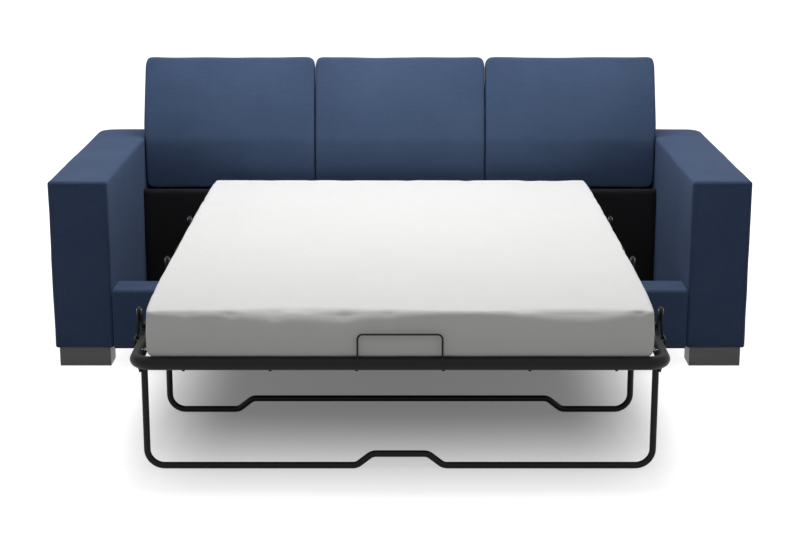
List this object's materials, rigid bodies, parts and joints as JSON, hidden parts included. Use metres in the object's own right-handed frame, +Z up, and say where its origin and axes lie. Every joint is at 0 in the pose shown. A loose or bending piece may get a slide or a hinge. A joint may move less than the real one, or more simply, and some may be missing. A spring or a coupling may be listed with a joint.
{
  "type": "sofa bed",
  "caption": "Pull-out sofa bed with box arms, padded back cushions, a folding steel tube bed frame on U-shaped legs and a sectioned mattress",
  "frame": {"origin": "floor level, at the middle of the open sofa bed's bounding box", "axes": "+X across the sofa towards its right arm as seen from the foot of the bed, +Y from the foot of the bed to the sofa's back, +Z up"},
  "size_m": [2.216, 2.031, 0.8842],
  "materials": {
    "arm_fabric": "plain woven, matt",
    "cushion_fabric": "plain woven, matt",
    "frame_timber": "sawn",
    "lined_timber": "black lined",
    "black_liner": "non-woven",
    "foot_wood": "dark stained",
    "fasteners": "zinc plated",
    "springs": "zinc plated",
    "black_steel": "satin black",
    "retainer_wire": "satin black",
    "deck_cloth": "woven polypropylene",
    "mattress_cover": "soft white ticking"
  },
  "bodies": {
    "sofa": {"arm_frame_left": "frame_timber", "arm_frame_right": "frame_timber", "arm_cover_left": "arm_fabric", "arm_cover_right": "arm_fabric", "front_rail_frame": "frame_timber", "front_rail_cover": "arm_fabric", "side_support_left": "lined_timber", "side_support_right": "lined_timber", "rear_rail": "frame_timber", "dust_cover": "black_liner", "back_frame": "frame_timber", "back_cover": "arm_fabric", "back_liner": "black_liner", "back_slope_liner": "black_liner", "back_cushion_left": "cushion_fabric", "back_cushion_middle": "cushion_fabric", "back_cushion_right": "cushion_fabric", "foot_front_left": "foot_wood", "foot_front_right": "foot_wood", "foot_rear_left": "foot_wood", "foot_rear_right": "foot_wood", "foot_screws": "fasteners", "bracket_left": "black_steel", "bracket_right": "black_steel", "bracket_bolts": "fasteners", "rear_rail_tube_left": "black_steel", "rear_rail_tube_right": "black_steel", "rear_cross_tubes": "black_steel", "rear_deck": "deck_cloth", "rear_springs": "springs", "rear_hinge_plates": "black_steel", "head_hinge_pins": "fasteners", "mattress_rear": "mattress_cover", "seat_hinge_pins": "fasteners"},
    "seat_section": {"seat_tube_left": "black_steel", "seat_tube_right": "black_steel", "seat_cross_tubes": "black_steel", "seat_deck": "deck_cloth", "seat_springs": "springs", "seat_hinge_plates": "black_steel", "foot_hinge_pins": "fasteners", "seat_leg_brackets": "black_steel", "mid_leg_pins": "fasteners", "mattress_seat": "mattress_cover"},
    "foot_section": {"foot_tube": "black_steel", "foot_cross_tube": "black_steel", "foot_deck": "deck_cloth", "foot_springs": "springs", "foot_hooks": "black_steel", "foot_hinge_plates": "black_steel", "foot_leg_brackets": "black_steel", "front_leg_pins": "fasteners", "retainer_bar": "retainer_wire", "mattress_foot": "mattress_cover"},
    "front_leg_body": {"front_leg": "black_steel"},
    "mid_leg_body": {"mid_leg": "black_steel"}
  },
  "joints": [
    {"name": "seat_section_lift", "type": "hinge", "parent": "sofa", "child": "seat_section", "pos_m": [0, -0.1295, 0.384], "axis": [-1, 0, 0], "range_deg": [0, 85], "deforming": ["mattress_seat"]},
    {"name": "mid_leg_fold", "type": "hinge", "parent": "seat_section", "child": "mid_leg_body", "pos_m": [0, -0.4505, 0.286], "axis": [1, 0, 0], "range_deg": [0, 85]},
    {"name": "foot_section_fold", "type": "hinge", "parent": "seat_section", "child": "foot_section", "pos_m": [0, -0.7245, 0.384], "axis": [-1, 0, 0], "range_deg": [0, 180], "deforming": ["mattress_foot"]},
    {"name": "front_leg_fold", "type": "hinge", "parent": "foot_section", "child": "front_leg_body", "pos_m": [0, -0.9245, 0.286], "axis": [1, 0, 0], "range_deg": [0, 90]}
  ],
  "couplings": [
    {"joint": "mid_leg_fold", "follows": "seat_section_lift", "ratio": 1},
    {"joint": "front_leg_fold", "follows": "foot_section_fold", "ratio": 0.5}
  ]
}
